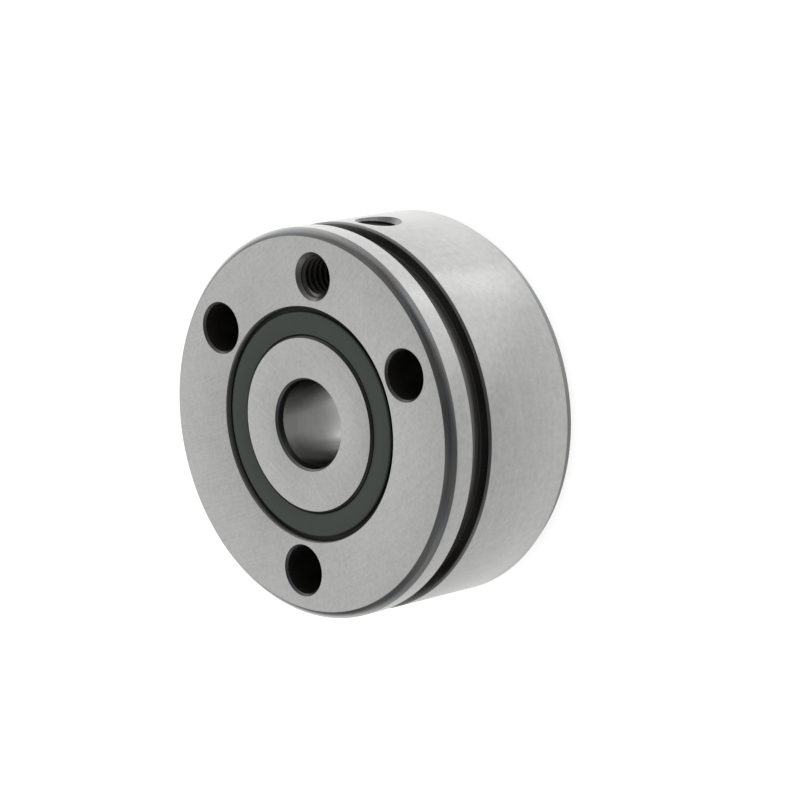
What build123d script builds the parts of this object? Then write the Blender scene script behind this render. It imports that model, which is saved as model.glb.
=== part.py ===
from build123d import *
import os
from math import acos, cos, degrees, radians, sin, tan

# Double-direction angular contact thrust ball bearing that screws to its seat.
# A thick outer ring carries two rows of balls at a steep contact angle, one each side of a
# central rib. The inner ring is split at mid width into two halves, and a lip seal closes
# each end. Three through holes take the fixing screws, a groove round the outside takes the
# puller, and two threaded ports, one radial and one axial, feed grease through the rib.
#
# Sizes are in millimetres and angles in degrees. The bearing's axis is Z. The rear face, which
# is screwed to its seat, lies at Z = 0 and the front face looks up. Both ports are on +X.

# Main sizes
bore_diameter = 12.0
outside_diameter = 55.0
width = 25.0

# Outer ring: outside edges and puller groove
front_chamfer_depth = 1.1
front_chamfer_length = 1.3
front_chamfer_crown = 0.19
rear_chamfer_depth = 0.9
rear_chamfer_length = 1.7
groove_distance = 4.7
groove_width = 3.0
groove_depth = 1.7
groove_front_chamfer = 0.43
groove_rear_chamfer = 0.3
groove_corner_radius = 0.25

# Outer ring: fixing holes
bolt_circle_diameter = 42.0
bolt_hole_diameter = 6.8
bolt_hole_count = 3
bolt_hole_start_angle = 60.0
bolt_hole_chamfer = 0.32

# Outer ring: lubrication ports, tapped M6, the duct that links them and the feed hole to the balls.
# Both are drilled deeper than tapped, and a wall is left between the axial and the radial port.
thread_diameter = 6.0
thread_drill_diameter = 5.0
thread_run_out = 1.0
port_chamfer = 0.43
port_wall = 1.0
radial_thread_depth = 5.0
drill_point_angle = 118.0
duct_diameter = 2.5
feed_hole_diameter = 1.2

# Balls and raceways: the balls' centres lie a little outside the inner ring's shoulder
ball_diameter = 5.556
ball_count = 12
pitch_rise = 0.5
contact_angle = 60.0
rib_thickness = 2.1
rib_edge_chamfer = 0.2
raceway_conformity = 0.53
raceway_clearance = 0.04

# Inner ring halves
shoulder_diameter = 25.0
shoulder_chamfer = 0.31
bore_edge_chamfer = 0.31
bore_lead_depth = 0.28
bore_lead_length = 0.71
joint_chamfer = 0.25

# Seals and their seats in the outer ring
seal_seat_width = 0.62
seal_seat_chamfer = 0.16
seal_recess = 0.3
seal_thickness = 1.9
seal_seat_gap = 0.02
seal_lip_clearance = 0.05
seal_rim_width = 1.3
seal_step_width = 0.67
seal_step_depth = 0.45
seal_step_radius = 0.28
seal_web_thickness = 0.8
seal_lip_depth = 0.55
seal_lip_bevel = 0.15
seal_lip_width = 0.5

# Cages
cage_pocket_clearance = 0.15
cage_shoulder_clearance = 0.4
cage_bore_clearance = 0.35
cage_back_thickness = 1.4
cage_snap_depth = 0.9
cage_tip_chamfer = 0.5

# Derived places, worked out in the section (radius, height)
outside_radius = outside_diameter / 2
bore_radius = bore_diameter / 2
middle = width / 2
middle_plane = Plane.XY.offset(middle)
bolt_circle_radius = bolt_circle_diameter / 2
ball_radius = ball_diameter / 2
shoulder_radius = shoulder_diameter / 2
pitch_radius = shoulder_radius + pitch_rise
raceway_radius = raceway_conformity * ball_diameter
raceway_shift = raceway_radius - ball_radius - raceway_clearance
radial_shift = raceway_shift * cos(radians(contact_angle))
axial_shift = raceway_shift * sin(radians(contact_angle))
row_offset = rib_thickness / 2 + raceway_radius - axial_shift
front_row = middle + row_offset
outer_raceway_centre = (pitch_radius - radial_shift, row_offset + axial_shift)
inner_raceway_centre = (pitch_radius + radial_shift, row_offset - axial_shift)
outer_bore_radius = outer_raceway_centre[0] + raceway_radius
rib_radius = outer_raceway_centre[0]
hub_radius = inner_raceway_centre[0] - raceway_radius
seal_seat_radius = outer_bore_radius + seal_seat_width
seal_front = width - seal_recess
seal_back = seal_front - seal_thickness
groove_front = width - groove_distance
groove_rear = groove_front - groove_width
rear_row_turn = 180 / ball_count
bolt_hole_radius = bolt_hole_diameter / 2
thread_radius = thread_diameter / 2
drill_radius = thread_drill_diameter / 2
drill_point_length = drill_radius / tan(radians(drill_point_angle / 2))
radial_drill_depth = radial_thread_depth + thread_run_out
axial_drill_depth = width - middle - thread_radius - port_wall
axial_thread_depth = axial_drill_depth - thread_run_out

os.makedirs("parts", exist_ok=True)

# Outer ring: turned outside and both raceways in one section, then drilled and tapped. The front
# edge is broken by a slightly crowned chamfer.
with BuildPart() as outer_ring:
    with BuildSketch(Plane.XZ) as ring_section:
        with BuildLine():
            outside = Polyline(
                (seal_seat_radius + seal_seat_chamfer, 0),
                (outside_radius - rear_chamfer_depth, 0),
                (outside_radius, rear_chamfer_length),
                (outside_radius, groove_rear - groove_rear_chamfer),
                (outside_radius - groove_rear_chamfer, groove_rear),
                (outside_radius - groove_depth, groove_rear),
                (outside_radius - groove_depth, groove_front),
                (outside_radius - groove_front_chamfer, groove_front),
                (outside_radius, groove_front + groove_front_chamfer),
                (outside_radius, width - front_chamfer_length),
            )
            crown = SagittaArc(
                outside @ 1,
                (outside_radius - front_chamfer_depth, width),
                sagitta=-front_chamfer_crown,
            )
            Polyline(
                crown @ 1,
                (seal_seat_radius + seal_seat_chamfer, width),
                (seal_seat_radius, width - seal_seat_chamfer),
                (seal_seat_radius, seal_back),
                (outer_bore_radius, seal_back),
                (outer_bore_radius, middle + outer_raceway_centre[1]),
            )
            front_raceway = CenterArc(
                (outer_raceway_centre[0], middle + outer_raceway_centre[1]),
                raceway_radius,
                0,
                -90,
            )
            Polyline(
                front_raceway @ 1,
                (rib_radius, middle - rib_thickness / 2),
            )
            rear_raceway = CenterArc(
                (outer_raceway_centre[0], middle - outer_raceway_centre[1]),
                raceway_radius,
                90,
                -90,
            )
            Polyline(
                rear_raceway @ 1,
                (outer_bore_radius, width - seal_back),
                (seal_seat_radius, width - seal_back),
                (seal_seat_radius, seal_seat_chamfer),
                outside @ 0,
            )
        make_face()
        rib_corners = ring_section.vertices().filter_by(
            lambda corner: abs(corner.X - rib_radius) < 1e-4
        )
        chamfer(rib_corners, length=rib_edge_chamfer)
    revolve(axis=Axis.Z)
    groove_corners = (
        outer_ring.edges()
        .filter_by(GeomType.CIRCLE)
        .filter_by(lambda edge: abs(edge.radius - outside_radius + groove_depth) < 1e-4)
    )
    fillet(groove_corners, radius=groove_corner_radius)
    # Fixing holes, countersunk a little at both faces
    with Locations(Plane.XY.offset(width)):
        with PolarLocations(
            bolt_circle_radius, bolt_hole_count, start_angle=bolt_hole_start_angle
        ):
            CounterSinkHole(
                radius=bolt_hole_radius,
                counter_sink_radius=bolt_hole_radius + bolt_hole_chamfer,
                depth=width,
                counter_sink_angle=90,
            )
    with PolarLocations(
        bolt_circle_radius, bolt_hole_count, start_angle=bolt_hole_start_angle
    ):
        Cone(
            bottom_radius=bolt_hole_radius + bolt_hole_chamfer,
            top_radius=bolt_hole_radius,
            height=bolt_hole_chamfer,
            align=(Align.CENTER, Align.CENTER, Align.MIN),
            mode=Mode.SUBTRACT,
        )
    # Lubrication ports: one on the hole circle in the front face, one outside at mid width
    port_mouths = (
        (Location((bolt_circle_radius, 0, width)), axial_thread_depth, axial_drill_depth),
        (
            Location((outside_radius, 0, middle), (0, 90, 0)),
            radial_thread_depth,
            radial_drill_depth,
        ),
    )
    for mouth, thread_depth, drill_depth in port_mouths:
        with Locations(mouth):
            CounterSinkHole(
                radius=thread_radius,
                counter_sink_radius=thread_radius + port_chamfer,
                depth=thread_depth,
                counter_sink_angle=90,
            )
            Hole(radius=drill_radius, depth=drill_depth)
            with Locations((0, 0, -drill_depth)):
                Cone(
                    bottom_radius=0,
                    top_radius=drill_radius,
                    height=drill_point_length,
                    align=(Align.CENTER, Align.CENTER, Align.MAX),
                    mode=Mode.SUBTRACT,
                )
    # The duct from the axial port down to the radial one, and the feed hole through the rib
    with Locations(port_mouths[0][0]):
        Hole(radius=duct_diameter / 2, depth=width - middle)
    with Locations(port_mouths[1][0]):
        Hole(radius=feed_hole_diameter / 2, depth=outside_radius - bore_radius)
outer_ring.part.label = "outer_ring"
export_step(outer_ring.part, "parts/outer_ring.step")

# Inner ring, front half: raceway, shoulder that the seal runs on, and the bore with its lead-in
raceway_end_angle = degrees(
    acos((shoulder_radius - inner_raceway_centre[0]) / raceway_radius)
)
with BuildPart() as front_inner_ring:
    with BuildSketch(Plane.XZ):
        with BuildLine():
            raceway = CenterArc(
                (inner_raceway_centre[0], middle + inner_raceway_centre[1]),
                raceway_radius,
                180,
                raceway_end_angle - 180,
            )
            Polyline(
                raceway @ 1,
                (shoulder_radius, width - shoulder_chamfer),
                (shoulder_radius - shoulder_chamfer, width),
                (bore_radius + bore_lead_depth + bore_edge_chamfer, width),
                (bore_radius + bore_lead_depth, width - bore_edge_chamfer),
                (bore_radius, width - bore_edge_chamfer - bore_lead_length),
                (bore_radius, middle + joint_chamfer),
                (bore_radius + joint_chamfer, middle),
                (hub_radius - joint_chamfer, middle),
                (hub_radius, middle + joint_chamfer),
                raceway @ 0,
            )
        make_face()
    revolve(axis=Axis.Z)
front_inner_ring.part.label = "front_inner_ring"
export_step(front_inner_ring.part, "parts/front_inner_ring.step")

with BuildPart() as rear_inner_ring:
    mirror(front_inner_ring.part, about=middle_plane)
rear_inner_ring.part.label = "rear_inner_ring"
export_step(rear_inner_ring.part, "parts/rear_inner_ring.step")

# Cage: a crown that snaps over the balls from the seal's side, with a round pocket for each
cage_inner_radius = shoulder_radius + cage_shoulder_clearance
cage_outer_radius = outer_bore_radius - cage_bore_clearance
cage_back = front_row + ball_radius + cage_pocket_clearance + cage_back_thickness
cage_tip = front_row - cage_snap_depth
with BuildPart() as front_cage:
    with BuildSketch(Plane.XZ):
        with BuildLine():
            Polyline(
                (cage_inner_radius, cage_back),
                (cage_outer_radius, cage_back),
                (cage_outer_radius, cage_tip + cage_tip_chamfer),
                (cage_outer_radius - cage_tip_chamfer, cage_tip),
                (cage_inner_radius, cage_tip),
                close=True,
            )
        make_face()
    revolve(axis=Axis.Z)
    with Locations(Plane.XY.offset(front_row)):
        with PolarLocations(pitch_radius, ball_count):
            Sphere(radius=ball_radius + cage_pocket_clearance, mode=Mode.SUBTRACT)
front_cage.part.label = "front_cage"
export_step(front_cage.part, "parts/front_cage.step")

with BuildPart() as rear_cage:
    add(front_cage.part.mirror(middle_plane), rotation=(0, 0, rear_row_turn))
rear_cage.part.label = "rear_cage"
export_step(rear_cage.part, "parts/rear_cage.step")

# Lip seal: a thick rim pressed into its seat, a thinner web, and the lip at the shoulder.
# The face steps down at its outer edge, which leaves a narrow gutter along the seat's wall.
seal_inner_radius = shoulder_radius + seal_lip_clearance
seal_outer_radius = seal_seat_radius - seal_seat_gap
seal_face_radius = seal_seat_radius - seal_step_width
seal_rim_radius = seal_outer_radius - seal_rim_width
seal_step = seal_front - seal_step_depth
seal_web_back = seal_front - seal_web_thickness
with BuildPart() as front_seal:
    with BuildSketch(Plane.XZ):
        with BuildLine():
            Polyline(
                (seal_inner_radius, seal_front - seal_lip_depth),
                (seal_inner_radius, seal_front - seal_lip_bevel),
                (seal_inner_radius + seal_lip_bevel, seal_front),
                (seal_face_radius, seal_front),
                (seal_face_radius, seal_step),
                (seal_outer_radius, seal_step),
                (seal_outer_radius, seal_back),
                (seal_rim_radius, seal_back),
                (seal_rim_radius, seal_web_back),
                (seal_inner_radius + seal_lip_width, seal_web_back),
                close=True,
            )
        make_face()
    revolve(axis=Axis.Z)
    face_edge = (
        front_seal.edges()
        .filter_by(GeomType.CIRCLE)
        .filter_by(lambda edge: abs(edge.radius - seal_face_radius) < 1e-4)
        .sort_by(Axis.Z)[-1]
    )
    fillet(face_edge, radius=seal_step_radius)
front_seal.part.label = "front_seal"
export_step(front_seal.part, "parts/front_seal.step")

with BuildPart() as rear_seal:
    mirror(front_seal.part, about=middle_plane)
rear_seal.part.label = "rear_seal"
export_step(rear_seal.part, "parts/rear_seal.step")

# Balls: every ball of a row is a piece of its own, numbered round from +X
ball_rows = (
    ("front", front_row, 0),
    ("rear", width - front_row, rear_row_turn),
)
for row, height, turn in ball_rows:
    places = PolarLocations(pitch_radius, ball_count, start_angle=turn).locations
    for number, place in enumerate(places, start=1):
        with BuildPart(Plane.XY.offset(height)) as ball:
            with Locations(place):
                Sphere(radius=ball_radius)
        ball.part.label = f"{row}_ball_{number:02d}"
        export_step(ball.part, f"parts/{row}_ball_{number:02d}.step")
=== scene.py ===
import bpy
from math import cos, pi, radians, sin, sqrt, tan
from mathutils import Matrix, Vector


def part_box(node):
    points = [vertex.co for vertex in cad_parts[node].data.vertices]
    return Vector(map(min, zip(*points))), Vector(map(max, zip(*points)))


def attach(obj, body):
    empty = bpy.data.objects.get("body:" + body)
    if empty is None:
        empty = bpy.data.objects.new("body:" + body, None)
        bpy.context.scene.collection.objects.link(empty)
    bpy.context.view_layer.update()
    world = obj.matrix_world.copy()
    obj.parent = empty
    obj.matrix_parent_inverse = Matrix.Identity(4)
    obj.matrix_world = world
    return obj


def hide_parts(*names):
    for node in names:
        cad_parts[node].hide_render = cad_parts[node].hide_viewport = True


# Angular contact thrust ball bearing, standing on its rear face with both lubrication ports
# on +X. Heights run from the rear face, radii from the axis. MM turns millimetres into metres.
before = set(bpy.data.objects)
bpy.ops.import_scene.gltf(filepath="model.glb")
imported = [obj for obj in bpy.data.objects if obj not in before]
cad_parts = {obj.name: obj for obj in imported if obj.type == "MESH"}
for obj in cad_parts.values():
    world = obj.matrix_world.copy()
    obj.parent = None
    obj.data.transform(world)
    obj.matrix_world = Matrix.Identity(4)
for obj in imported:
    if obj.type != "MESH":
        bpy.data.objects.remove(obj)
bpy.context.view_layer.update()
MM = 0.001


# Outer ring. One thick ring of through-hardened bearing steel: turned, drilled, tapped and
# hardened, and last ground on both faces, on the outside and in the raceways. What no grinding
# wheel reaches keeps the dark skin of the hardening: edges, groove, holes and seal seats.
outside_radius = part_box("outer_ring")[1].x
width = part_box("outer_ring")[1].z
middle = width / 2
seat_radius = 16.5 * MM
seat_chamfer = 0.16 * MM
seat_depth = 2.2 * MM
raceway_radius = 2.945 * MM
rib_radius = 12.937 * MM
inside_radius = rib_radius + raceway_radius
raceway_height = 16.495 * MM - middle
outer_raceway_end = 86
raceway_steps = 14
rib_half = 1.05 * MM
rib_chamfer = 0.2 * MM
rear_edge = (0.9 * MM, 1.7 * MM)
groove_front = width - 4.7 * MM
groove_rear = groove_front - 3.0 * MM
groove_radius = outside_radius - 1.7 * MM
groove_front_edge = 0.43 * MM
groove_rear_edge = 0.3 * MM
groove_corner = 0.25 * MM
crown_radius = 2.003 * MM
crown_ends = (15.1, 65.4)
crown_centre = (outside_radius - crown_radius * cos(radians(crown_ends[0])),
                width - crown_radius * sin(radians(crown_ends[1])))
eased = 0.04 * MM
hole_circle = 21.0 * MM
screw_turns = (60, 180, 300)
hole_radius = 3.4 * MM
hole_edge = 0.32 * MM
port_edge_radius = 3.43 * MM
thread_pitch = 1.0 * MM
thread_root = 3.0 * MM
thread_crest = 2.5 * MM
thread_flat = thread_pitch / 8
thread_start = 57 / 128 * thread_pitch
axial_depths = (7.5 * MM, 8.5 * MM)
radial_depths = (5.0 * MM, 6.0 * MM)
drill_point = 59
duct_radius = 1.25 * MM
feed_radius = 0.6 * MM
feed_end = 11.0 * MM
overshoot = 1.0 * MM


def arc(centre, radius, start, end, steps=8):
    """Points of a round stretch of a section, between two angles in degrees."""
    turns = [radians(start + (end - start) * step / steps) for step in range(steps + 1)]
    return [(centre[0] + radius * cos(turn), centre[1] + radius * sin(turn)) for turn in turns]


def pick(piece):
    """Makes a piece the only one that the next operators act on."""
    bpy.ops.object.select_all(action="DESELECT")
    piece.select_set(True)
    bpy.context.view_layer.objects.active = piece


def draw_section(name, points, closed):
    """Draws a section as a chain of edges through its (radius, height) points."""
    bpy.ops.object.select_all(action="DESELECT")
    bpy.ops.mesh.primitive_plane_add(size=MM)
    piece = bpy.context.active_object
    piece.name = name
    bpy.ops.object.mode_set(mode="EDIT")
    bpy.ops.mesh.merge(type="CENTER")
    bpy.ops.transform.translate(value=(points[0][0], 0, points[0][1]))
    path = points + points[:1] if closed else points
    for (r0, z0), (r1, z1) in zip(path, path[1:]):
        bpy.ops.mesh.extrude_vertices_move(TRANSFORM_OT_translate={"value": (r1 - r0, 0, z1 - z0)})
    bpy.ops.mesh.select_all(action="SELECT")
    bpy.ops.mesh.remove_doubles(threshold=0.001 * MM)
    bpy.ops.object.mode_set(mode="OBJECT")
    return piece


def close_up(piece):
    """Merges what meets and turns every face outwards."""
    pick(piece)
    bpy.ops.object.mode_set(mode="EDIT")
    bpy.ops.mesh.select_all(action="SELECT")
    bpy.ops.mesh.remove_doubles(threshold=0.001 * MM)
    bpy.ops.mesh.normals_make_consistent(inside=False)
    bpy.ops.object.mode_set(mode="OBJECT")


def lathe(name, points, segments, closed=True):
    """Turns a section once round the axis."""
    piece = draw_section(name, points, closed)
    bpy.ops.object.mode_set(mode="EDIT")
    bpy.ops.mesh.select_all(action="SELECT")
    bpy.ops.mesh.spin(steps=segments, angle=2 * pi, center=(0, 0, 0), axis=(0, 0, 1))
    bpy.ops.object.mode_set(mode="OBJECT")
    close_up(piece)
    return piece


def work(piece, kind, **settings):
    """Adds a modifier with its settings and applies it."""
    pick(piece)
    modifier = piece.modifiers.new(kind, kind)
    for key, value in settings.items():
        setattr(modifier, key, value)
    bpy.ops.object.modifier_apply(modifier=kind)


def ease(piece):
    """Breaks every sharp edge a little, as tumbling or a hone does."""
    work(piece, "BEVEL", width=eased, segments=2, limit_method="ANGLE", angle_limit=radians(25))


def move(piece, offset=(0, 0, 0), turn=0, axis="Z"):
    """Turns a piece's mesh about the origin, anticlockwise in degrees, and then shifts it."""
    pick(piece)
    bpy.ops.object.mode_set(mode="EDIT")
    bpy.ops.mesh.select_all(action="SELECT")
    bpy.ops.transform.rotate(value=-radians(turn), orient_axis=axis, center_override=(0, 0, 0))
    bpy.ops.transform.translate(value=offset)
    bpy.ops.object.mode_set(mode="OBJECT")


def copy(piece):
    """Copies a piece, with a mesh of its own."""
    pick(piece)
    bpy.ops.object.duplicate()
    return bpy.context.active_object


def cut(piece, *tools):
    """Cuts the shapes of some tools, which don't touch each other, out of a piece."""
    if len(tools) > 1:
        pick(tools[0])
        for tool in tools:
            tool.select_set(True)
        bpy.ops.object.join()
    work(piece, "BOOLEAN", operation="DIFFERENCE", solver="EXACT", object=tools[0])
    bpy.data.objects.remove(tools[0])


outer_ring = lathe("outer_ring_steel", [
    (seat_radius + seat_chamfer, 0),
    (outside_radius - rear_edge[0], 0),
    (outside_radius, rear_edge[1]),
    (outside_radius, groove_rear - groove_rear_edge),
    (outside_radius - groove_rear_edge, groove_rear),
    *arc((groove_radius + groove_corner, groove_rear + groove_corner), groove_corner, 270, 180),
    *arc((groove_radius + groove_corner, groove_front - groove_corner), groove_corner, 180, 90),
    (outside_radius - groove_front_edge, groove_front),
    (outside_radius, groove_front + groove_front_edge),
    *arc(crown_centre, crown_radius, *crown_ends),
    (seat_radius + seat_chamfer, width),
    (seat_radius, width - seat_chamfer),
    (seat_radius, width - seat_depth),
    (inside_radius, width - seat_depth),
    *arc((rib_radius, middle + raceway_height), raceway_radius, 0, -outer_raceway_end,
         raceway_steps),
    (rib_radius, middle + rib_half - rib_chamfer),
    (rib_radius, middle - rib_half + rib_chamfer),
    *arc((rib_radius, middle - raceway_height), raceway_radius, outer_raceway_end, 0,
         raceway_steps),
    (inside_radius, seat_depth),
    (seat_radius, seat_depth),
    (seat_radius, seat_chamfer),
], segments=360)
ease(outer_ring)

# The three holes for the fixing screws run right through, a little countersunk at both faces.
screw_drill = lathe("screw_drill", [
    (0, -overshoot),
    (hole_radius + hole_edge + overshoot, -overshoot),
    (hole_radius, hole_edge),
    (hole_radius, width - hole_edge),
    (hole_radius + hole_edge + overshoot, width + overshoot),
    (0, width + overshoot),
], segments=96, closed=False)
move(screw_drill, (hole_circle, 0, 0))
screw_drills = [screw_drill, copy(screw_drill), copy(screw_drill)]
for drill, turn in zip(screw_drills, screw_turns):
    move(drill, turn=turn)
cut(outer_ring, *screw_drills)

# Both ports are drilled, countersunk and tapped M6. The axial one goes on as a duct down to the
# radial one, which feeds the balls through a small hole in the rib. The tap is one thread groove
# with a trapezoid section. It reaches a little under the drilled wall, so that it cuts clean.
half_flat = thread_flat / 2
flank = (thread_root - thread_crest) * tan(radians(30))
under = 0.05 * MM
tap_turns = 12
tap = draw_section("tap", [
    (thread_crest - under, 0),
    (thread_crest - under, thread_pitch / 2 - half_flat - flank - under * tan(radians(30))),
    (thread_root, thread_pitch / 2 - half_flat),
    (thread_root, thread_pitch / 2 + half_flat),
    (thread_crest - under, thread_pitch / 2 + half_flat + flank + under * tan(radians(30))),
    (thread_crest - under, thread_pitch),
], closed=False)
work(tap, "SCREW", axis="Z", angle=2 * pi, screw_offset=thread_pitch, iterations=tap_turns,
     steps=64, render_steps=64, use_merge_vertices=True, merge_threshold=0.001 * MM)


def bore_port(depths, duct, duct_end):
    """Makes the drill and the tap of one port, with its mouth at the origin and facing +Z. The
    depths are those of the thread and of the hole that is drilled for it."""
    thread_depth, drill_depth = depths
    cone = (thread_crest - duct) / tan(radians(drill_point))
    drill = lathe("port_drill", [
        (0, overshoot),
        (port_edge_radius + overshoot, overshoot),
        (thread_crest, thread_crest - port_edge_radius),
        (thread_crest, -drill_depth),
        (duct, -drill_depth - cone),
        (duct, -duct_end),
        (0, -duct_end),
    ], segments=96, closed=False)
    thread = copy(tap)
    move(thread, (0, 0, (2 - tap_turns) * thread_pitch - thread_start))
    bpy.ops.object.mode_set(mode="EDIT")
    for end, above in ((-thread_depth, False), (thread_pitch / 2, True)):
        bpy.ops.mesh.select_all(action="SELECT")
        bpy.ops.mesh.bisect(plane_co=(0, 0, end), plane_no=(0, 0, 1), use_fill=True,
                            clear_outer=above, clear_inner=not above, threshold=0.0001 * MM)
    bpy.ops.object.mode_set(mode="OBJECT")
    close_up(thread)
    return drill, thread


axial_tools = bore_port(axial_depths, duct_radius, width - middle)
for tool in axial_tools:
    move(tool, (hole_circle, 0, width))
radial_tools = bore_port(radial_depths, feed_radius, outside_radius - feed_end)
for tool in radial_tools:
    move(tool, turn=90, axis="Y")
    move(tool, (outside_radius, 0, middle))
cut(outer_ring, axial_tools[0])
cut(outer_ring, radial_tools[0])
cut(outer_ring, axial_tools[1], radial_tools[1])
bpy.data.objects.remove(tap)


def linear(colour):
    """Turns an sRGB hex colour into linear values."""
    parts = [int(colour[at:at + 2], 16) / 255 for at in (1, 3, 5)]
    return (*[p / 12.92 if p <= 0.04045 else ((p + 0.055) / 1.055) ** 2.4 for p in parts], 1)


def add_node(tree, kind, inputs=None, **settings):
    """Adds a node with its settings, and with a value or a link for each input that is named."""
    node = tree.nodes.new(kind)
    for key, value in settings.items():
        setattr(node, key, value)
    for socket, value in (inputs or {}).items():
        if isinstance(value, bpy.types.NodeSocket):
            tree.links.new(value, node.inputs[socket])
        else:
            node.inputs[socket].default_value = value
    return node


def start_material(name, **sockets):
    """Starts a material of one shader, with the values that are the same all over it."""
    material = bpy.data.materials.new(name)
    material.use_nodes = True
    tree = material.node_tree
    shader = tree.nodes["Principled BSDF"]
    for socket, value in sockets.items():
        shader.inputs[socket.replace("_", " ")].default_value = value
    return material, tree, shader


def ground_steel(name, tones, roughness, line, reach, centre, relief, grain, cloud,
                 Anisotropic=0.0):
    """Hardened bearing steel off the grinding wheel. It is bright and satin, and the wheel's
    lines, which curve round centre, are line wide and relief deep and fade out over reach. A
    mottle of the size grain and clouds of the size cloud, in slightly different greys, lie over
    them. The real lines are a few microns wide, too fine to show, so they are drawn as coarse as
    the eye sees them."""
    material, tree, shader = start_material(name, Metallic=1.0, Anisotropic=Anisotropic,
                                            Anisotropic_Rotation=0.25)
    place = add_node(tree, "ShaderNodeTexCoord").outputs["Object"]
    from_centre = add_node(tree, "ShaderNodeVectorMath", {0: place, 1: centre},
                           operation="SUBTRACT")
    level = add_node(tree, "ShaderNodeVectorMath", {0: from_centre.outputs[0], 1: (1, 1, 0)},
                     operation="MULTIPLY")
    radius = add_node(tree, "ShaderNodeVectorMath", {0: level.outputs[0]}, operation="LENGTH")
    axes = add_node(tree, "ShaderNodeSeparateXYZ", {0: place})
    across = add_node(tree, "ShaderNodeMath", {0: radius.outputs["Value"], 1: axes.outputs["Z"]},
                      operation="SUBTRACT")
    across = add_node(tree, "ShaderNodeMath", {0: across.outputs[0], 1: 1 / line},
                      operation="MULTIPLY")
    along = add_node(tree, "ShaderNodeVectorMath", {0: place, 1: (1 / reach, 1 / reach, 0)},
                     operation="MULTIPLY")
    along = add_node(tree, "ShaderNodeSeparateXYZ", {0: along.outputs[0]})
    lay = add_node(tree, "ShaderNodeCombineXYZ", {"X": along.outputs["X"], "Y": along.outputs["Y"],
                                                  "Z": across.outputs[0]})
    lines = add_node(tree, "ShaderNodeTexNoise", {"Vector": lay.outputs[0], "Scale": 1.0,
                                                  "Detail": 2.0, "Roughness": 0.6})
    mottle = add_node(tree, "ShaderNodeTexNoise", {"Vector": place, "Scale": 1 / grain,
                                                   "Detail": 2.0, "Roughness": 0.7})
    spread = add_node(tree, "ShaderNodeVectorMath", {0: place, 1: [1 / size for size in cloud]},
                      operation="MULTIPLY")
    clouds = add_node(tree, "ShaderNodeTexNoise", {"Vector": spread.outputs[0], "Scale": 1.0,
                                                   "Detail": 3.0, "Roughness": 0.6})
    both = add_node(tree, "ShaderNodeMath", {0: lines.outputs["Fac"], 1: 0.55,
                                             2: mottle.outputs["Fac"]}, operation="MULTIPLY_ADD")
    all_three = add_node(tree, "ShaderNodeMath", {0: clouds.outputs["Fac"], 1: 0.35,
                                                  2: both.outputs[0]}, operation="MULTIPLY_ADD")
    share = add_node(tree, "ShaderNodeMapRange", {"Value": all_three.outputs[0], "From Min": 0.5,
                                                  "From Max": 1.4})
    colour = add_node(tree, "ShaderNodeMix", {"Factor": share.outputs[0], "A": linear(tones[0]),
                                              "B": linear(tones[1])}, data_type="RGBA")
    dull = add_node(tree, "ShaderNodeMapRange", {"Value": share.outputs[0],
                                                 "To Min": roughness[0], "To Max": roughness[1]})
    bump = add_node(tree, "ShaderNodeBump", {"Height": lines.outputs["Fac"], "Strength": 1.0,
                                             "Distance": relief})
    tree.links.new(colour.outputs["Result"], shader.inputs["Base Color"])
    tree.links.new(dull.outputs["Result"], shader.inputs["Roughness"])
    tree.links.new(bump.outputs["Normal"], shader.inputs["Normal"])
    if Anisotropic:
        tangent = add_node(tree, "ShaderNodeTangent", direction_type="RADIAL", axis="Z")
        tree.links.new(tangent.outputs[0], shader.inputs["Tangent"])
    return material


# The faces are ground on a turntable, so faint arcs cross them. The outside is ground round its
# own axis, so its lines run round it and stretch every highlight along the axis.
face_cloud = (5 * MM, 5 * MM, 5 * MM)
wall_cloud = (1.5 * MM, 1.5 * MM, 25 * MM)
face_steel = ground_steel("ground_steel_face", ("#A8A8A6", "#C6C6C4"), roughness=(0.30, 0.38),
                          line=0.25 * MM, reach=6 * MM, centre=(0.07, 0.05, 0),
                          relief=0.0002 * MM, grain=0.45 * MM, cloud=face_cloud)
outside_steel = ground_steel("ground_steel_outside", ("#9D9D9B", "#B7B7B5"),
                             roughness=(0.28, 0.34), line=0.25 * MM, reach=20 * MM,
                             centre=(0, 0, 0), relief=0.0002 * MM, grain=0.8 * MM,
                             cloud=wall_cloud, Anisotropic=0.6)


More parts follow.
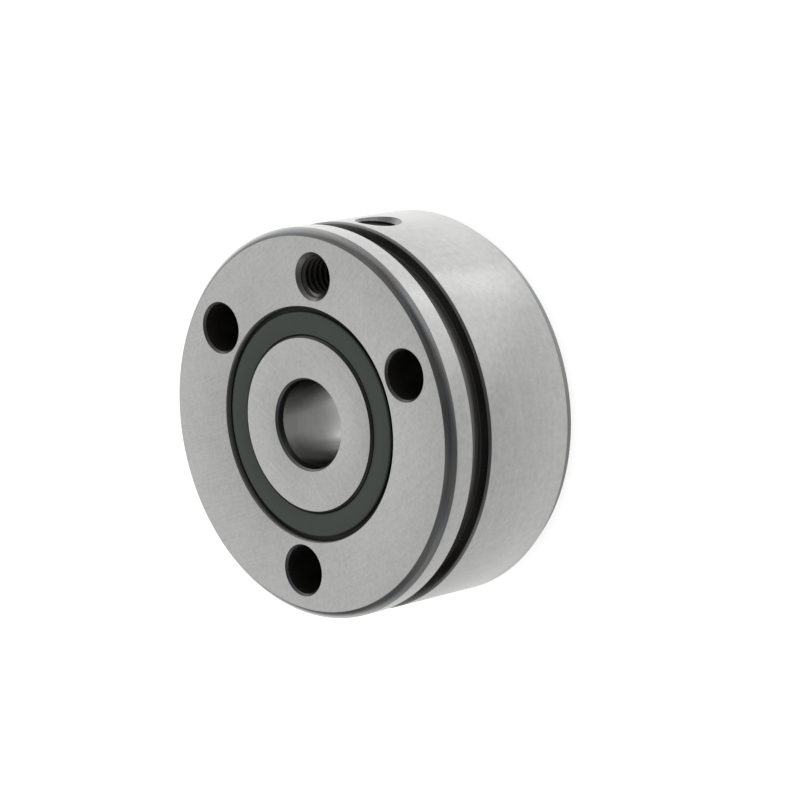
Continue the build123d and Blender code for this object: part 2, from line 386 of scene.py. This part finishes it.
def dark_steel(name, tones, roughness, ring, **sockets):
    """Turned or drilled steel under the thin dark oxide of hardening. It is graphite grey, here
    and there a little blue or brown, and the rings of the tool, ring apart, show through. They
    hold for about 8 mm round the part before they fade into others."""
    material, tree, shader = start_material(name, **sockets)
    place = add_node(tree, "ShaderNodeTexCoord").outputs["Object"]
    stain = add_node(tree, "ShaderNodeTexNoise", {"Vector": place, "Scale": 1 / (8 * MM),
                                                  "Detail": 4.0, "Roughness": 0.6})
    share = add_node(tree, "ShaderNodeMapRange", {"Value": stain.outputs["Fac"], "From Min": 0.3,
                                                  "From Max": 0.7})
    hue = add_node(tree, "ShaderNodeMix", {"Factor": share.outputs[0], "A": linear(tones[0]),
                                           "B": linear(tones[1])}, data_type="RGBA")
    lay = add_node(tree, "ShaderNodeMapping", {"Vector": place, "Scale": (120, 120, 1 / ring)})
    rings = add_node(tree, "ShaderNodeTexNoise", {"Vector": lay.outputs[0], "Scale": 1.0,
                                                  "Detail": 3.0})
    worn = add_node(tree, "ShaderNodeMapRange", {"Value": rings.outputs["Fac"], "From Min": 0.3,
                                                 "From Max": 0.7, "To Min": 0.78,
                                                 "To Max": 1.22})
    hue = add_node(tree, "ShaderNodeVectorMath", {0: hue.outputs["Result"],
                                                  "Scale": worn.outputs[0]}, operation="SCALE")
    dull = add_node(tree, "ShaderNodeMapRange", {"Value": rings.outputs["Fac"], "From Min": 0.3,
                                                 "From Max": 0.7, "To Min": roughness[0],
                                                 "To Max": roughness[1]})
    bump = add_node(tree, "ShaderNodeBump", {"Height": rings.outputs["Fac"], "Strength": 1.0,
                                             "Distance": 0.001 * MM})
    tree.links.new(hue.outputs[0], shader.inputs["Base Color"])
    tree.links.new(dull.outputs["Result"], shader.inputs["Roughness"])
    tree.links.new(bump.outputs["Normal"], shader.inputs["Normal"])
    return material


# Turned edges have a silky skin. It is lighter in the groove and round the ports, and darker on
# the screw holes' countersinks and in the threads. In the screw holes it is dull and black, and
# the groove's corners get the same dull black: their skin with painted shade, darker than the
# groove's floor. In the seal's seats, which are only turned, it is thin and grey.
skin_steel = dark_steel("hardened_steel_skin", ("#6E6B67", "#676A6D"), roughness=(0.26, 0.36),
                        ring=0.25 * MM, Metallic=1.0)
drilled_skin_and_painted_shade = dark_steel("hardened_steel_drilled_and_painted_shade", ("#32312F", "#3B3835"),
                           roughness=(0.42, 0.55), ring=0.12 * MM, Metallic=0.5)
seat_steel = dark_steel("hardened_steel_seat", ("#6B6B69", "#73716E"), roughness=(0.45, 0.6),
                        ring=0.2 * MM, Metallic=0.3)
groove_steel = dark_steel("hardened_steel_groove", ("#76746F", "#727373"),
                          roughness=(0.26, 0.36), ring=0.25 * MM, Metallic=1.0)
sunk_steel = dark_steel("hardened_steel_countersink", ("#54575B", "#5C5A57"),
                        roughness=(0.26, 0.36), ring=0.25 * MM, Metallic=1.0)
tapped_steel = dark_steel("hardened_steel_tapped", ("#3C3B39", "#454340"),
                          roughness=(0.42, 0.55), ring=0.12 * MM, Metallic=0.6)

near = 0.01 * MM
screw_axes = [Vector((hole_circle * cos(radians(turn)), hole_circle * sin(radians(turn))))
              for turn in screw_turns]
port_axis = Vector((hole_circle, 0))
cone_slope = sqrt(0.5)
slope_error = 0.05
wall_slope = 0.1


def clad(piece, choose):
    """Gives each face of a piece the material that choose picks for it."""
    for face in piece.data.polygons:
        material = choose(face)
        if piece.data.materials.find(material.name) < 0:
            piece.data.materials.append(material)
        face.material_index = piece.data.materials.find(material.name)


def outer_ring_finish(face):
    """Tells how a face of the outer ring was finished, from its place and its slope."""
    spot, normal = face.center, face.normal
    radius = spot.xy.length
    height = min(spot.z, width - spot.z)
    from_screw = min((spot.xy - axis).length for axis in screw_axes)
    from_axial_port = (spot.xy - port_axis).length
    from_radial_port = Vector((spot.y, spot.z - middle)).length
    axial_cone = abs(abs(normal.z) - cone_slope) < slope_error
    radial_cone = abs(abs(normal.x) - cone_slope) < slope_error
    if height < near:
        return face_steel
    if from_screw < hole_radius + near:
        return drilled_skin_and_painted_shade
    if from_axial_port < thread_root + near and not axial_cone:
        return tapped_steel
    if from_radial_port < thread_root + near and spot.x > inside_radius and not radial_cone:
        return tapped_steel
    if axial_cone and from_screw < hole_radius + hole_edge + near:
        return sunk_steel
    if axial_cone and from_axial_port < port_edge_radius + near:
        return groove_steel
    if groove_rear + near < spot.z < groove_front - near and radius > groove_radius - near:
        from_wall = min(spot.z - groove_rear, groove_front - spot.z)
        # Painted shade: the groove's corners get the dull black of the screw holes.
        return drilled_skin_and_painted_shade if from_wall < groove_corner else groove_steel
    if radius > outside_radius - near and abs(normal.z) < wall_slope:
        return outside_steel
    if radius < inside_radius + near and height > seat_depth + near:
        return outside_steel
    return seat_steel if radius < seat_radius + near else skin_steel


clad(outer_ring, outer_ring_finish)


def smooth(piece):
    """Shades round forms smooth and leaves sharp edges sharp."""
    pick(piece)
    bpy.ops.object.shade_smooth_by_angle(angle=radians(14))


smooth(outer_ring)
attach(outer_ring, "outer")
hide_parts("outer_ring")


# Inner ring. It is split at mid width into two halves of hardened bearing steel, ground all
# over: faces, bore, shoulder and raceway. A lead in each bore's mouth guides the spindle in.
bore_radius = 6.0 * MM
shoulder_radius = 12.5 * MM
shoulder_chamfer = 0.31 * MM
bore_mouth_chamfer = 0.31 * MM
lead = (0.28 * MM, 0.71 * MM)
joint_chamfer = 0.25 * MM
inner_raceway_centre = (13.063 * MM, 16.275 * MM)
hub_radius = inner_raceway_centre[0] - raceway_radius
inner_raceway_end = 101.02

front_inner = lathe("front_inner_ring_steel", [
    (bore_radius + lead[0] + bore_mouth_chamfer, width),
    (bore_radius + lead[0], width - bore_mouth_chamfer),
    (bore_radius, width - bore_mouth_chamfer - lead[1]),
    (bore_radius, middle + joint_chamfer),
    (bore_radius + joint_chamfer, middle),
    (hub_radius - joint_chamfer, middle),
    (hub_radius, middle + joint_chamfer),
    *arc(inner_raceway_centre, raceway_radius, 180, inner_raceway_end, raceway_steps),
    (shoulder_radius, width - shoulder_chamfer),
    (shoulder_radius - shoulder_chamfer, width),
], segments=256)
ease(front_inner)


def mirrored(piece, name):
    """Copies a piece to the rear half, as seen in a mirror at mid width."""
    twin = copy(piece)
    twin.name = name
    bpy.ops.object.mode_set(mode="EDIT")
    bpy.ops.mesh.select_all(action="SELECT")
    bpy.ops.transform.resize(value=(1, 1, -1), center_override=(0, 0, middle))
    bpy.ops.object.mode_set(mode="OBJECT")
    close_up(twin)
    return twin


rear_inner = mirrored(front_inner, "rear_inner_ring_steel")

# The faces show the wheel's arcs, as the outer ring's do. The bore is ground finer, round its own
# axis, and mirrors in streaks along it. The lead and the shoulder's edge are nearly black: partly
# their dark skin, and partly painted shade and a painted reflection of the dark gap and seal
# beside them. The chamfer in the bore's mouth keeps a grey skin.
inner_face_steel = ground_steel("ground_steel_inner_face", ("#A8A8A6", "#C6C6C4"),
                                roughness=(0.30, 0.38), line=0.25 * MM, reach=5 * MM,
                                centre=(-0.05, 0.03, 0), relief=0.0002 * MM, grain=0.45 * MM,
                                cloud=face_cloud)
lead_skin_and_painted_shade = dark_steel("hardened_steel_lead_painted_shade", ("#383A3D", "#3E3D3B"), roughness=(0.3, 0.4),
                        ring=0.25 * MM, Metallic=1.0)
mouth_steel = dark_steel("hardened_steel_mouth", ("#5C5F63", "#64625F"),
                         roughness=(0.26, 0.36), ring=0.25 * MM, Metallic=1.0)
bore_steel = ground_steel("ground_steel_bore", ("#A0A09E", "#ABABA9"), roughness=(0.18, 0.24),
                          line=0.2 * MM, reach=12 * MM, centre=(0, 0, 0), relief=0.0002 * MM,
                          grain=0.6 * MM, cloud=wall_cloud, Anisotropic=0.8)


def inner_ring_finish(face):
    """Tells how a face of an inner ring half was finished, from its height and its radius."""
    height = min(face.center.z, width - face.center.z)
    if height < near:
        return inner_face_steel
    if height < bore_mouth_chamfer and face.center.xy.length < hub_radius - near:
        return mouth_steel
    # The lead and the shoulder's edge get the nearly black steel, partly painted shade.
    return lead_skin_and_painted_shade if height < bore_mouth_chamfer + lead[1] else bore_steel


for half, node in ((front_inner, "front_inner_ring"), (rear_inner, "rear_inner_ring")):
    clad(half, inner_ring_finish)
    smooth(half)
    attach(half, "inner_ring")
    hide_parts(node)


# Seals. Nitrile rubber moulded on a steel insert and pressed into the outer ring. The lip runs
# on the inner ring's shoulder, and a step round the outer edge leaves a narrow gutter.
seal_front = width - 0.3 * MM
seal_back = width - seat_depth
seal_inner_radius = shoulder_radius + 0.05 * MM
seal_outer_radius = seat_radius - 0.02 * MM
seal_face_radius = seat_radius - 0.67 * MM
seal_rim_radius = seal_outer_radius - 1.3 * MM
seal_step = seal_front - 0.45 * MM
seal_web_back = seal_front - 0.8 * MM
lip_bevel = 0.15 * MM
step_round = 0.28 * MM

front_seal = lathe("front_seal_rubber", [
    (seal_inner_radius, seal_front - 0.55 * MM),
    (seal_inner_radius, seal_front - lip_bevel),
    (seal_inner_radius + lip_bevel, seal_front),
    *arc((seal_face_radius - step_round, seal_front - step_round), step_round, 90, 0),
    (seal_face_radius, seal_step),
    (seal_outer_radius, seal_step),
    (seal_outer_radius, seal_back),
    (seal_rim_radius, seal_back),
    (seal_rim_radius, seal_web_back),
    (seal_inner_radius + 0.5 * MM, seal_web_back),
], segments=256)
ease(front_seal)
rear_seal = mirrored(front_seal, "rear_seal_rubber")


def nitrile_rubber(name, tones, **sockets):
    """Nitrile rubber off a finely blasted mould, black with a greenish bloom."""
    material, tree, shader = start_material(name, IOR=1.52, **sockets)
    place = add_node(tree, "ShaderNodeTexCoord").outputs["Object"]
    bloom = add_node(tree, "ShaderNodeTexNoise", {"Vector": place, "Scale": 1 / (3 * MM),
                                                  "Detail": 4.0, "Roughness": 0.6})
    colour = add_node(tree, "ShaderNodeMix", {"Factor": bloom.outputs["Fac"],
                                              "A": linear(tones[0]), "B": linear(tones[1])},
                      data_type="RGBA")
    skin = add_node(tree, "ShaderNodeTexNoise", {"Vector": place, "Scale": 1 / (0.25 * MM),
                                                 "Detail": 2.0})
    dull = add_node(tree, "ShaderNodeMapRange", {"Value": bloom.outputs["Fac"], "To Min": 0.42,
                                                 "To Max": 0.58})
    bump = add_node(tree, "ShaderNodeBump", {"Height": skin.outputs["Fac"], "Strength": 1.0,
                                             "Distance": 0.002 * MM})
    tree.links.new(colour.outputs["Result"], shader.inputs["Base Color"])
    tree.links.new(dull.outputs["Result"], shader.inputs["Roughness"])
    tree.links.new(bump.outputs["Normal"], shader.inputs["Normal"])
    return material


# In the gutter round the seal the rubber has no bloom and is painted matt and nearly black:
# painted shade for the narrow, deep gutter.
rubber = nitrile_rubber("moulded_nitrile_rubber", ("#2D3731", "#38433C"))
gutter_painted_shade_rubber = nitrile_rubber("nitrile_rubber_painted_gutter_shade", ("#0F1211", "#151917"),
                               Specular_IOR_Level=0.2)


def seal_finish(face):
    """Tells a seal's gutter from its face."""
    # The gutter takes the rubber with painted shade.
    return gutter_painted_shade_rubber if face.center.xy.length > seal_face_radius - near else rubber


for seal, node in ((front_seal, "front_seal"), (rear_seal, "rear_seal")):
    clad(seal, seal_finish)
    smooth(seal)
    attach(seal, "outer")
    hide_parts(node)


# Cages. Each row has a crown of glass-filled polyamide, moulded in one piece, that snaps over
# the balls. The moulding gives it a dull skin, cream coloured, with a faint swirl of fibres.
polyamide, tree, shader = start_material("moulded_polyamide_glass_filled", IOR=1.53,
                                         Subsurface_Weight=0.15, Subsurface_Scale=0.4 * MM)
place = add_node(tree, "ShaderNodeTexCoord").outputs["Object"]
fibres = add_node(tree, "ShaderNodeTexNoise", {"Vector": place, "Scale": 1 / (0.6 * MM),
                                               "Detail": 5.0, "Distortion": 1.5})
colour = add_node(tree, "ShaderNodeMix", {"Factor": fibres.outputs["Fac"], "A": linear("#DCD2B8"),
                                          "B": linear("#EBE4CF")}, data_type="RGBA")
dull = add_node(tree, "ShaderNodeMapRange", {"Value": fibres.outputs["Fac"], "To Min": 0.42,
                                             "To Max": 0.6})
bump = add_node(tree, "ShaderNodeBump", {"Height": fibres.outputs["Fac"], "Strength": 1.0,
                                         "Distance": 0.003 * MM})
tree.links.new(colour.outputs["Result"], shader.inputs["Base Color"])
tree.links.new(dull.outputs["Result"], shader.inputs["Roughness"])
tree.links.new(bump.outputs["Normal"], shader.inputs["Normal"])
for cage in ("front_cage", "rear_cage"):
    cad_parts[cage].material_slots[0].material = polyamide


# Balls. There are two rows of them, of through-hardened bearing steel, ground and then lapped to a
# mirror with only a faint haze.
ball_steel, tree, shader = start_material("lapped_ball_steel", Metallic=1.0)
place = add_node(tree, "ShaderNodeTexCoord").outputs["Object"]
haze = add_node(tree, "ShaderNodeTexNoise", {"Vector": place, "Scale": 1 / (1.5 * MM),
                                             "Detail": 3.0})
colour = add_node(tree, "ShaderNodeMix", {"Factor": haze.outputs["Fac"], "A": linear("#C0C0BF"),
                                          "B": linear("#CBCBCA")}, data_type="RGBA")
gloss = add_node(tree, "ShaderNodeMapRange", {"Value": haze.outputs["Fac"], "To Min": 0.05,
                                              "To Max": 0.09})
tree.links.new(colour.outputs["Result"], shader.inputs["Base Color"])
tree.links.new(gloss.outputs["Result"], shader.inputs["Roughness"])
for name, cad_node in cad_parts.items():
    if "_ball_" in name:
        cad_node.material_slots[0].material = ball_steel


# Floor. A wide white table. The paper keeps a soft shadow where the bearing stands. In reflections
# it also glows: a painted glow of painted light and painted shade, which stands in for lit paper
# as it looks in the steel. shine adds up that glow.
floor_radius = 1.5
bpy.ops.object.select_all(action="DESELECT")
bpy.ops.mesh.primitive_circle_add(radius=floor_radius, vertices=96, fill_type="NGON",
                                  location=(0, 0, -0.02 * MM))
floor = bpy.context.active_object
floor.name = "floor"
floor_paper = bpy.data.materials.new("white_table_paper")
floor_paper.use_nodes = True
tree = floor_paper.node_tree
tree.nodes.clear()
path = add_node(tree, "ShaderNodeLightPath")
place = add_node(tree, "ShaderNodeTexCoord").outputs["Object"]
axes = add_node(tree, "ShaderNodeSeparateXYZ", {0: place})
level = add_node(tree, "ShaderNodeVectorMath", {0: place, 1: (1, 1, 0)}, operation="MULTIPLY")
from_axis = add_node(tree, "ShaderNodeVectorMath", {0: level.outputs[0]}, operation="LENGTH")

# Painted light: the glow is painted brighter on the side of the ports, where the window is, and
# twice as bright on a strip of it.
painted_lit_side = add_node(tree, "ShaderNodeMapRange", {"Value": axes.outputs["X"], "From Min": 16 * MM,
                                                 "From Max": 34 * MM, "To Max": 0.46},
                    interpolation_type="SMOOTHSTEP")
off_strip = add_node(tree, "ShaderNodeMath", {0: axes.outputs["Y"], 1: 19 * MM}, operation="ADD")
off_strip = add_node(tree, "ShaderNodeMath", {0: off_strip.outputs[0]}, operation="ABSOLUTE")
strip = add_node(tree, "ShaderNodeMapRange", {"Value": off_strip.outputs[0], "From Min": 1 * MM,
                                              "From Max": 6 * MM, "To Min": 1.0, "To Max": 0.0},
                 interpolation_type="SMOOTHSTEP")
strip = add_node(tree, "ShaderNodeMath", {0: strip.outputs[0], 1: painted_lit_side.outputs[0]},
                 operation="MULTIPLY")
shine = add_node(tree, "ShaderNodeMath", {0: strip.outputs[0], 1: painted_lit_side.outputs[0]},
                 operation="ADD")

# Painted light: the glow is painted brighter near the bearing, for the light that the steel throws
# back on the paper.
painted_bounce_light = add_node(tree, "ShaderNodeMapRange", {"Value": from_axis.outputs["Value"],
                                                 "From Min": 26 * MM, "From Max": 52 * MM,
                                                 "To Min": 0.78, "To Max": 0.58},
                    interpolation_type="SMOOTHSTEP")
shine = add_node(tree, "ShaderNodeMath", {0: shine.outputs[0], 1: painted_bounce_light.outputs[0]},
                 operation="ADD")
beside = add_node(tree, "ShaderNodeMapRange", {"Value": from_axis.outputs["Value"],
                                               "From Min": 29 * MM, "From Max": 34 * MM,
                                               "To Min": 0.1, "To Max": 0.0},
                  interpolation_type="SMOOTHSTEP")
shine = add_node(tree, "ShaderNodeMath", {0: shine.outputs[0], 1: beside.outputs[0]},
                 operation="ADD")

# Painted light: the glow is painted brighter on the table behind the bearing, for the tent's back
# wall.
outwards = add_node(tree, "ShaderNodeVectorMath", {0: level.outputs[0]}, operation="NORMALIZE")
to_back = add_node(tree, "ShaderNodeVectorMath", {0: outwards.outputs[0], 1: (-0.21, 0.98, 0)},
                   operation="DOT_PRODUCT")
to_back = add_node(tree, "ShaderNodeMapRange", {"Value": to_back.outputs["Value"],
                                                "From Max": 0.5, "To Max": 1.0},
                   interpolation_type="SMOOTHSTEP")
beyond = add_node(tree, "ShaderNodeMapRange", {"Value": from_axis.outputs["Value"],
                                               "From Min": 40 * MM, "From Max": 65 * MM},
                  interpolation_type="SMOOTHSTEP")
shine = add_node(tree, "ShaderNodeMath", {0: to_back.outputs[0], 1: beyond.outputs[0],
                                          2: shine.outputs[0]}, operation="MULTIPLY_ADD")

# Painted shade: towards the camera the tent is open, and the glow is painted darker there.
painted_front_shade = add_node(tree, "ShaderNodeMapRange", {"Value": axes.outputs["Y"],
                                                 "From Min": -110 * MM, "From Max": -50 * MM,
                                                 "To Min": -0.38, "To Max": 0.0},
                    interpolation_type="SMOOTHSTEP")
shine = add_node(tree, "ShaderNodeMath", {0: shine.outputs[0], 1: painted_front_shade.outputs[0]},
                 operation="ADD")

# Painted shadow: right under the edge, on the sides away from the window, the glow is painted
# darker, where little light gets in.
painted_contact_shadow = add_node(tree, "ShaderNodeMapRange", {"Value": from_axis.outputs["Value"],
                                                "From Min": 27.7 * MM, "From Max": 28.3 * MM,
                                                "To Min": -0.4, "To Max": 0.0})
painted_shadow_side = add_node(tree, "ShaderNodeMapRange", {"Value": axes.outputs["X"], "From Min": 0 * MM,
                                              "From Max": 14 * MM, "To Min": 1.0,
                                              "To Max": 0.0}, interpolation_type="SMOOTHSTEP")
shine = add_node(tree, "ShaderNodeMath", {0: painted_contact_shadow.outputs[0], 1: painted_shadow_side.outputs[0],
                                          2: shine.outputs[0]}, operation="MULTIPLY_ADD")

# Painted light: under the bore the glow is painted brighter, for light that falls down the bore,
# least on the camera's side.
past_edge = add_node(tree, "ShaderNodeMapRange", {"Value": axes.outputs["Y"],
                                                  "From Min": -4.4 * MM, "From Max": -3.6 * MM,
                                                  "To Min": 0.5, "To Max": 0.9},
                     interpolation_type="SMOOTHSTEP")
further = add_node(tree, "ShaderNodeMapRange", {"Value": axes.outputs["Y"],
                                                "From Min": -0.5 * MM, "From Max": 0.5 * MM,
                                                "To Max": 1.3}, interpolation_type="SMOOTHSTEP")
painted_bore_light = add_node(tree, "ShaderNodeMath", {0: past_edge.outputs[0], 1: further.outputs[0]},
                        operation="ADD")
under_bore = add_node(tree, "ShaderNodeMapRange", {"Value": from_axis.outputs["Value"],
                                                   "From Min": 6.5 * MM, "From Max": 7.5 * MM,
                                                   "To Min": 1.0, "To Max": 0.0})
shine = add_node(tree, "ShaderNodeMix", {"Factor": under_bore.outputs[0], "A": shine.outputs[0],
                                         "B": painted_bore_light.outputs[0]})

# Only reflections see the painted glow. Seen straight, or through something clear, the paper is
# evenly white but for its shadow.
painted_reflection_glow = add_node(tree, "ShaderNodeMath", {0: shine.outputs[0],
                                                  1: path.outputs["Is Glossy Ray"]},
                         operation="MULTIPLY")
seen = add_node(tree, "ShaderNodeMath", {0: path.outputs["Is Camera Ray"],
                                         1: path.outputs["Is Transmission Ray"]},
                operation="MAXIMUM")
glow = add_node(tree, "ShaderNodeMath", {0: seen.outputs[0], 1: 0.8, 2: painted_reflection_glow.outputs[0]},
                operation="MULTIPLY_ADD")
paper = add_node(tree, "ShaderNodeBsdfDiffuse", {"Color": linear("#DADADA")})
light = add_node(tree, "ShaderNodeEmission", {"Color": (1, 1, 1, 1), "Strength": glow.outputs[0]})
both = add_node(tree, "ShaderNodeAddShader", {0: paper.outputs[0], 1: light.outputs[0]})
add_node(tree, "ShaderNodeOutputMaterial", {"Surface": both.outputs[0]})
floor.data.materials.append(floor_paper)


# Studio. A white tent lit from outside. It is open, and so darker, towards the camera. A window
# low on the side of the ports and lamps behind the cloth are brighter, and flags are darker.
world = bpy.data.worlds.new("white_tent")
bpy.context.scene.world = world
world.use_nodes = True
tree = world.node_tree
tree.nodes.clear()
path = add_node(tree, "ShaderNodeLightPath")
seen = add_node(tree, "ShaderNodeMath", {0: path.outputs["Is Camera Ray"],
                                         1: path.outputs["Is Transmission Ray"]},
                operation="MAXIMUM")
direction = add_node(tree, "ShaderNodeTexCoord").outputs["Generated"]
axes = add_node(tree, "ShaderNodeSeparateXYZ", {0: direction})
to_opening = add_node(tree, "ShaderNodeVectorMath", {0: direction, 1: (0.25, -0.68, 0.69)},
                      operation="DOT_PRODUCT")
tent = add_node(tree, "ShaderNodeMapRange", {"Value": to_opening.outputs["Value"],
                                             "From Min": -0.2, "From Max": 1.0, "To Min": 1.0,
                                             "To Max": 0.24})
to_ports = add_node(tree, "ShaderNodeVectorMath", {0: direction, 1: (0.98, 0.1, 0)},
                    operation="DOT_PRODUCT")
low = add_node(tree, "ShaderNodeMapRange", {"Value": axes.outputs["Z"], "From Min": 0.12,
                                            "From Max": 0.3, "To Min": 1.0, "To Max": 0.0},
               interpolation_type="SMOOTHSTEP")
near_ports = add_node(tree, "ShaderNodeMapRange", {"Value": to_ports.outputs["Value"],
                                                   "From Min": 0.3, "From Max": 0.8,
                                                   "To Max": 0.7},
                      interpolation_type="SMOOTHSTEP")
strength = add_node(tree, "ShaderNodeMath", {0: low.outputs[0], 1: near_ports.outputs[0],
                                             2: tent.outputs[0]}, operation="MULTIPLY_ADD")

# Lamps add strength and flags take it away: the way each lies, how near to that way (as a cosine)
# it begins and is full, and its strength.
for towards, rim, heart, gain in (((0.46, 0.88, -0.1), 0.84, 0.97, 0.38),
                                  ((0.88, -0.46, 0.13), 0.94, 0.99, 1.0),
                                  ((-0.86, -0.51, 0.05), 0.93, 0.99, 0.3),
                                  ((-0.47, -0.88, -0.05), 0.88, 0.97, -0.18),
                                  ((-0.9, 0.32, 0.29), 0.84, 0.97, -0.62)):
    aim = add_node(tree, "ShaderNodeVectorMath", {0: direction, 1: towards},
                   operation="DOT_PRODUCT")
    patch = add_node(tree, "ShaderNodeMapRange", {"Value": aim.outputs["Value"], "From Min": rim,
                                                  "From Max": heart, "To Max": gain},
                     interpolation_type="SMOOTHSTEP")
    strength = add_node(tree, "ShaderNodeMath", {0: strength.outputs[0], 1: patch.outputs[0]},
                        operation="ADD")
strength = add_node(tree, "ShaderNodeMath", {0: strength.outputs[0], 1: seen.outputs[0]},
                    operation="MAXIMUM")
sky = add_node(tree, "ShaderNodeBackground", {"Color": (1, 1, 1, 1),
                                              "Strength": strength.outputs[0]})
add_node(tree, "ShaderNodeOutputWorld", {"Surface": sky.outputs[0]})


# Camera. A long lens looks down at the bearing from half a metre away and from one side, and is
# rolled so that the bearing seems to stand on its rim.
camera = bpy.data.objects.new("camera", bpy.data.cameras.new("camera"))
camera.data.lens = 171.5
camera.data.sensor_width = 36
camera.data.clip_start = 0.05
camera.location = (0.12753, -0.36657, 0.38468)
camera.rotation_euler = (radians(-11.5149), radians(44.5885), radians(-87.1255))
bpy.context.scene.collection.objects.link(camera)
bpy.context.scene.camera = camera
bpy.context.scene.view_settings.view_transform = "Standard"
